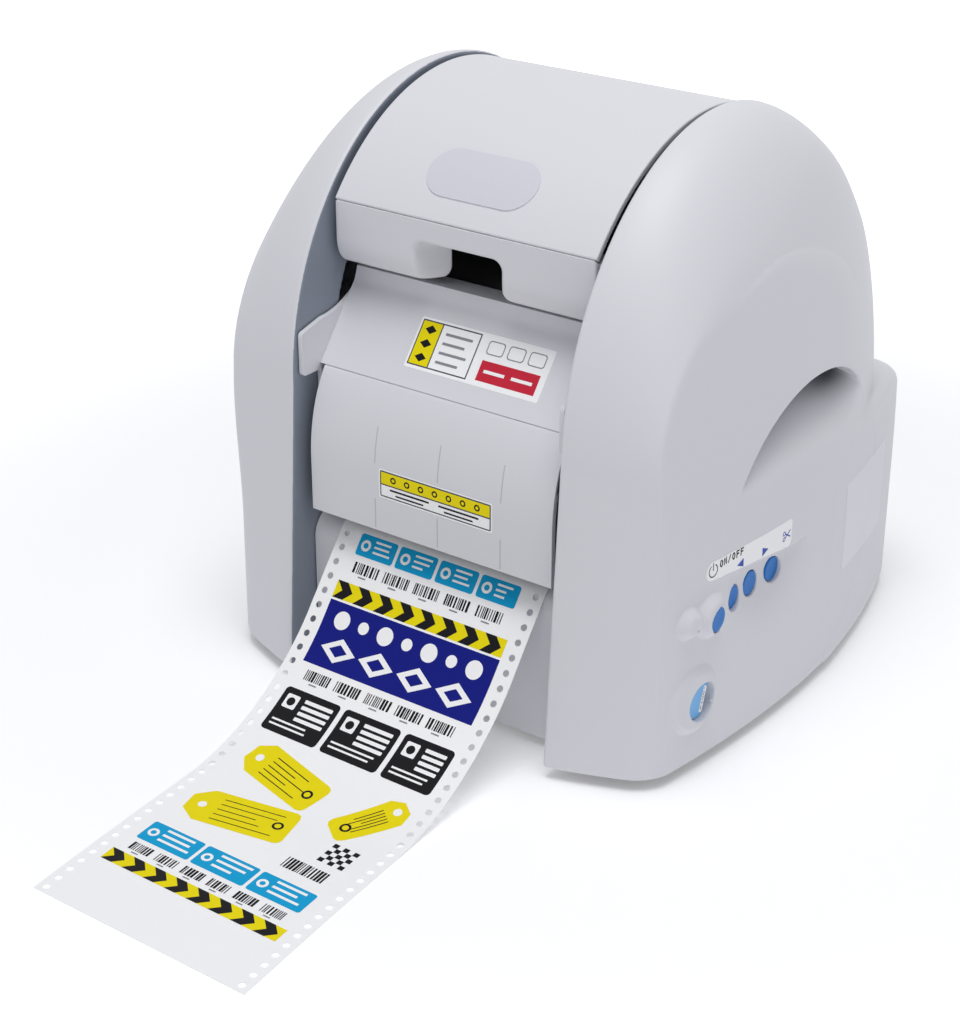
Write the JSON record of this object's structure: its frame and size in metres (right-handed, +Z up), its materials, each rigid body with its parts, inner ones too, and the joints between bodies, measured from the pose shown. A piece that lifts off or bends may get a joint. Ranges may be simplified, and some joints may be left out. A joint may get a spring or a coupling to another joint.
{
  "type": "desktop label printer",
  "caption": "Desktop label printer with domed side covers, a hinged lid, a hinged cutter cover, side buttons and a dial, and a printed label sheet fed out at the front onto the desk.",
  "frame": {"origin": "centre of the printer body's footprint on the desk, under the rubber feet", "axes": "+X to the printer's right as seen from its front, +Y to its back, +Z up; the label sheet runs out along -Y"},
  "size_m": [0.2476, 0.4434, 0.263],
  "materials": {
    "shell": "fine grain",
    "base": "matt",
    "foot_rubber": "matt",
    "steel": "brushed",
    "bushing": "satin",
    "blue_button": "satin",
    "lamp": "clear",
    "board": "solder mask",
    "dial": "satin",
    "label_stock": "satin film",
    "card": "card",
    "dark_plastic": "fine grain",
    "platen_rubber": "ground",
    "brass": "turned",
    "motor_case": "satin",
    "alloy": "satin",
    "ceramic": "glazed",
    "film": "gloss",
    "socket": "satin",
    "plated": "plated"
  },
  "bodies": {
    "housing": {"base_plate": "base", "rubber_feet": "foot_rubber", "left_side_cover": "shell", "right_side_cover": "shell", "left_side_frame": "steel", "right_side_frame": "steel", "rear_cover": "shell", "lower_front_panel": "shell", "head_cover": "shell", "lid_bushings": "bushing", "status_lens": "lamp", "button_board": "board", "dial_spindle": "steel", "label_sheet": "label_stock", "feed_motor": "motor_case", "motor_bracket": "steel", "guide_bar": "steel", "cutting_bed": "alloy", "cutting_mat": "platen_rubber", "head_pivot": "steel", "ribbon_cassette": "dark_plastic", "ribbon_film": "film", "guide_rods": "steel", "cutter_beam": "steel", "cutter_motor": "motor_case", "drive_belt": "platen_rubber", "main_board": "board", "power_supply": "alloy", "power_inlet": "socket", "usb_socket": "plated", "rear_screws": "steel"},
    "lid": {"lid_shell": "shell", "lid_lip": "shell", "lid_pins": "steel", "lid_badge": "shell"},
    "front_cover": {"cutter_cover": "shell", "cover_pins": "steel"},
    "power_key": {"power_button": "blue_button"},
    "back_key": {"back_button": "blue_button"},
    "feed_key": {"feed_button": "blue_button"},
    "cut_key": {"cut_button": "blue_button"},
    "dial": {"dial_wheel": "dial"},
    "label_supply": {"label_roll": "label_stock", "roll_core": "card", "roll_shaft": "steel", "roll_flanges": "dark_plastic"},
    "platen": {"platen_roller": "platen_rubber", "platen_shaft": "steel", "sprocket_wheels": "bushing", "platen_gear": "bushing"},
    "pinion": {"motor_pinion": "brass"},
    "supply": {"supply_spool": "dark_plastic"},
    "takeup": {"takeup_spool": "dark_plastic"},
    "head": {"head_arm": "steel", "print_head": "ceramic", "heat_sink": "alloy"},
    "carriage": {"cutter_carriage": "dark_plastic"},
    "blade": {"blade_holder": "brass"},
    "drive_wheel": {"drive_pulley": "alloy"},
    "idler_wheel": {"idler_pulley": "alloy"}
  },
  "joints": [
    {"name": "lid_hinge", "type": "hinge", "parent": "housing", "child": "lid", "pos_m": [0, 0.08476, 0.17986], "axis": [-1, 0, 0], "range_deg": [0, 70]},
    {"name": "front_cover_hinge", "type": "hinge", "parent": "housing", "child": "front_cover", "pos_m": [0, -0.101, 0.141], "axis": [-1, 0, 0], "range_deg": [0, 52]},
    {"name": "power_press", "type": "slide", "parent": "housing", "child": "power_key", "axis": [-1, 0, 0], "range_m": [0, 0.0015], "stiffness_N_per_m": 400},
    {"name": "back_press", "type": "slide", "parent": "housing", "child": "back_key", "axis": [-1, 0, 0], "range_m": [0, 0.0015], "stiffness_N_per_m": 400},
    {"name": "feed_press", "type": "slide", "parent": "housing", "child": "feed_key", "axis": [-1, 0, 0], "range_m": [0, 0.0015], "stiffness_N_per_m": 400},
    {"name": "cut_press", "type": "slide", "parent": "housing", "child": "cut_key", "axis": [-1, 0, 0], "range_m": [0, 0.0015], "stiffness_N_per_m": 400},
    {"name": "dial_turn", "type": "hinge", "parent": "housing", "child": "dial", "pos_m": [0.11628, -0.0845, 0.034], "axis": [1, 0, 0], "range_deg": [-140, 140]},
    {"name": "label_roll_spin", "type": "hinge", "parent": "housing", "child": "label_supply", "pos_m": [0, 0.045, 0.088], "axis": [1, 0, 0], "continuous": true},
    {"name": "platen_spin", "type": "hinge", "parent": "housing", "child": "platen", "pos_m": [0, -0.06, 0.06596], "axis": [1, 0, 0], "continuous": true},
    {"name": "pinion_spin", "type": "hinge", "parent": "housing", "child": "pinion", "pos_m": [0.064, -0.05162, 0.04294], "axis": [1, 0, 0], "continuous": true},
    {"name": "supply_spin", "type": "hinge", "parent": "housing", "child": "supply", "pos_m": [0, 0.012, 0.166], "axis": [1, 0, 0], "continuous": true},
    {"name": "takeup_spin", "type": "hinge", "parent": "housing", "child": "takeup", "pos_m": [0, -0.042, 0.166], "axis": [1, 0, 0], "continuous": true},
    {"name": "head_lift", "type": "hinge", "parent": "housing", "child": "head", "pos_m": [0, 0.008, 0.122], "axis": [-1, 0, 0], "range_deg": [0, 6]},
    {"name": "carriage_slide", "type": "slide", "parent": "housing", "child": "carriage", "axis": [1, 0, 0], "range_m": [-0.038, 0.038]},
    {"name": "blade_drop", "type": "slide", "parent": "carriage", "child": "blade", "axis": [0, 0, -1], "range_m": [0, 0.001], "stiffness_N_per_m": 500, "springref_m": -0.003},
    {"name": "drive_wheel_spin", "type": "hinge", "parent": "housing", "child": "drive_wheel", "pos_m": [-0.051, -0.091, 0.124], "axis": [0, 0, 1], "range_deg": [-322.2, 322.2]},
    {"name": "idler_wheel_spin", "type": "hinge", "parent": "housing", "child": "idler_wheel", "pos_m": [0.051, -0.091, 0.124], "axis": [0, 0, 1], "range_deg": [-322.2, 322.2]}
  ],
  "couplings": [
    {"joint": "platen_spin", "follows": "label_roll_spin", "ratio": -3.9095},
    {"joint": "pinion_spin", "follows": "label_roll_spin", "ratio": 9.7738},
    {"joint": "supply_spin", "follows": "label_roll_spin", "ratio": -2.3333},
    {"joint": "takeup_spin", "follows": "label_roll_spin", "ratio": 3.2308},
    {"joint": "drive_wheel_spin", "follows": "carriage_slide", "rad_per_m": 147.06},
    {"joint": "idler_wheel_spin", "follows": "carriage_slide", "rad_per_m": 147.06}
  ]
}
